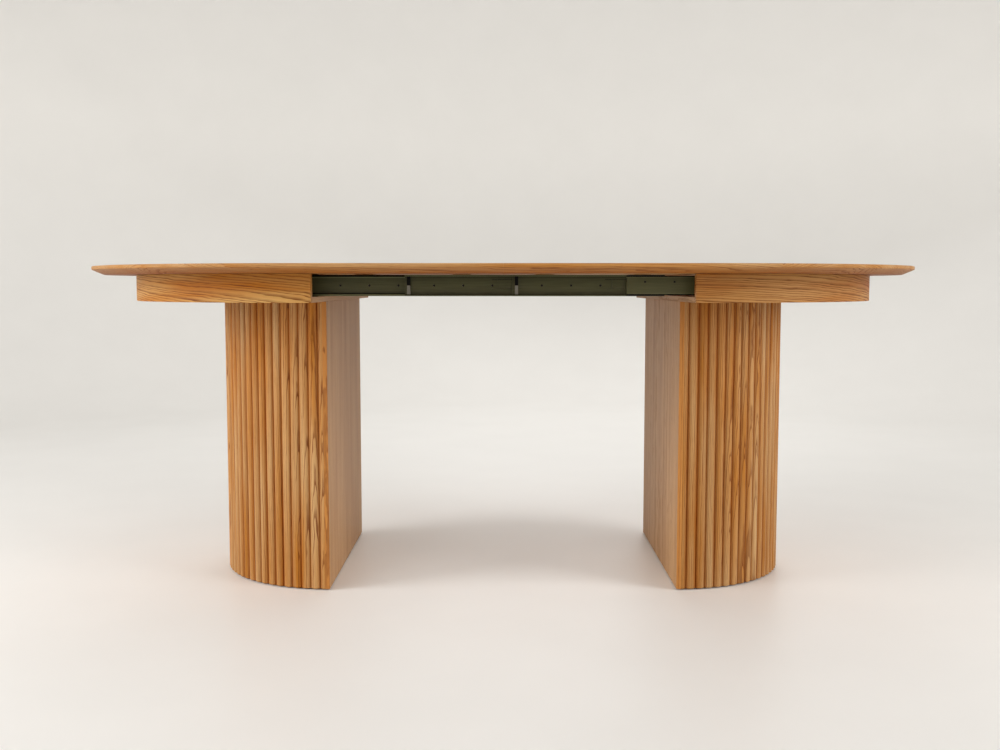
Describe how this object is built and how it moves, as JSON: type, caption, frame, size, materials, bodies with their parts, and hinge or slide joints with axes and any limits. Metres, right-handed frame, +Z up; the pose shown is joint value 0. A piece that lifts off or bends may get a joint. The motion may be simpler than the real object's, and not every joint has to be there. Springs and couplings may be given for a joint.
{
  "type": "extending dining table",
  "caption": "Oval extending dining table with a bevelled oak top, lift-out leaves, telescopic slides and half-round reeded pedestals with flat inner faces.",
  "frame": {"origin": "on the floor, midway between the two pedestals, under the middle of the top", "axes": "+X along the table, the way the right half slides out; +Y across it, away from the pictured side; +Z up"},
  "size_m": [2.033, 1.22, 0.76],
  "materials": {
    "oak_top": "oiled oak, matt",
    "oak_apron": "oiled oak, matt",
    "oak_reeds": "oiled oak, matt",
    "oak_panel": "oiled oak veneer, matt",
    "plywood": "sanded plywood",
    "beech": "planed beech",
    "slide_steel": "olive-grey coated steel, satin",
    "stop_nylon": "moulded nylon",
    "buffer_rubber": "moulded rubber",
    "glide_nylon": "moulded nylon",
    "zinc_steel": "zinc plated",
    "pin_steel": "turned steel",
    "insert_brass": "turned brass"
  },
  "bodies": {
    "left_half": {"top_half_left": "oak_top", "alignment_pins_left": "pin_steel", "apron_left": "oak_apron", "base_board_left": "oak_panel", "cross_rails_left": "beech", "top_screws_left": "zinc_steel", "staves_left": "oak_reeds", "face_panel_left": "oak_panel", "pedestal_cap_left": "plywood", "pedestal_rib_left": "plywood", "pedestal_floor_left": "plywood", "glides_left": "glide_nylon", "pedestal_bolts_left": "zinc_steel", "bolt_inserts_left": "insert_brass", "slide_screws_left": "zinc_steel", "slide_first_near": "slide_steel", "slide_bearer_near": "beech", "slide_first_far": "slide_steel", "slide_bearer_far": "beech"},
    "right_half": {"top_half_right": "oak_top", "alignment_pins_right": "pin_steel", "apron_right": "oak_apron", "base_board_right": "oak_panel", "cross_rails_right": "beech", "top_screws_right": "zinc_steel", "staves_right": "oak_reeds", "face_panel_right": "oak_panel", "pedestal_cap_right": "plywood", "pedestal_rib_right": "plywood", "pedestal_floor_right": "plywood", "glides_right": "glide_nylon", "pedestal_bolts_right": "zinc_steel", "bolt_inserts_right": "insert_brass", "slide_screws_right": "zinc_steel", "slide_fourth_near": "slide_steel", "slide_cleat_near": "beech", "slide_fourth_far": "slide_steel", "slide_cleat_far": "beech"},
    "leaf_left": {"leaf_left": "oak_top", "leaf_battens_left": "beech"},
    "leaf_right": {"leaf_right": "oak_top", "leaf_battens_right": "beech"},
    "slide_second_near": {"slide_second_near": "slide_steel", "slide_stop_second_near": "stop_nylon", "slide_buffer_second_near": "buffer_rubber"},
    "slide_third_near": {"slide_third_near": "slide_steel", "slide_stop_third_near": "stop_nylon", "slide_buffer_third_near": "buffer_rubber"},
    "slide_second_far": {"slide_second_far": "slide_steel", "slide_stop_second_far": "stop_nylon", "slide_buffer_second_far": "buffer_rubber"},
    "slide_third_far": {"slide_third_far": "slide_steel", "slide_stop_third_far": "stop_nylon", "slide_buffer_third_far": "buffer_rubber"}
  },
  "joints": [
    {"name": "table_slide", "type": "slide", "parent": "left_half", "child": "right_half", "axis": [1, 0, 0], "range_m": [0, 0.06]},
    {"name": "slide_second_near_run", "type": "slide", "parent": "left_half", "child": "slide_second_near", "axis": [1, 0, 0], "range_m": [0, 0.02]},
    {"name": "slide_third_near_run", "type": "slide", "parent": "left_half", "child": "slide_third_near", "axis": [1, 0, 0], "range_m": [0, 0.04]},
    {"name": "slide_second_far_run", "type": "slide", "parent": "left_half", "child": "slide_second_far", "axis": [1, 0, 0], "range_m": [0, 0.02]},
    {"name": "slide_third_far_run", "type": "slide", "parent": "left_half", "child": "slide_third_far", "axis": [1, 0, 0], "range_m": [0, 0.04]},
    {"name": "leaf_left_lift", "type": "slide", "parent": "left_half", "child": "leaf_left", "axis": [0, 0, 1], "range_m": [0, 0.3]},
    {"name": "leaf_right_lift", "type": "slide", "parent": "right_half", "child": "leaf_right", "axis": [0, 0, 1], "range_m": [0, 0.3]}
  ],
  "couplings": [
    {"joint": "slide_second_near_run", "follows": "table_slide", "ratio": 0.33333},
    {"joint": "slide_third_near_run", "follows": "table_slide", "ratio": 0.66667},
    {"joint": "slide_second_far_run", "follows": "table_slide", "ratio": 0.33333},
    {"joint": "slide_third_far_run", "follows": "table_slide", "ratio": 0.66667}
  ]
}
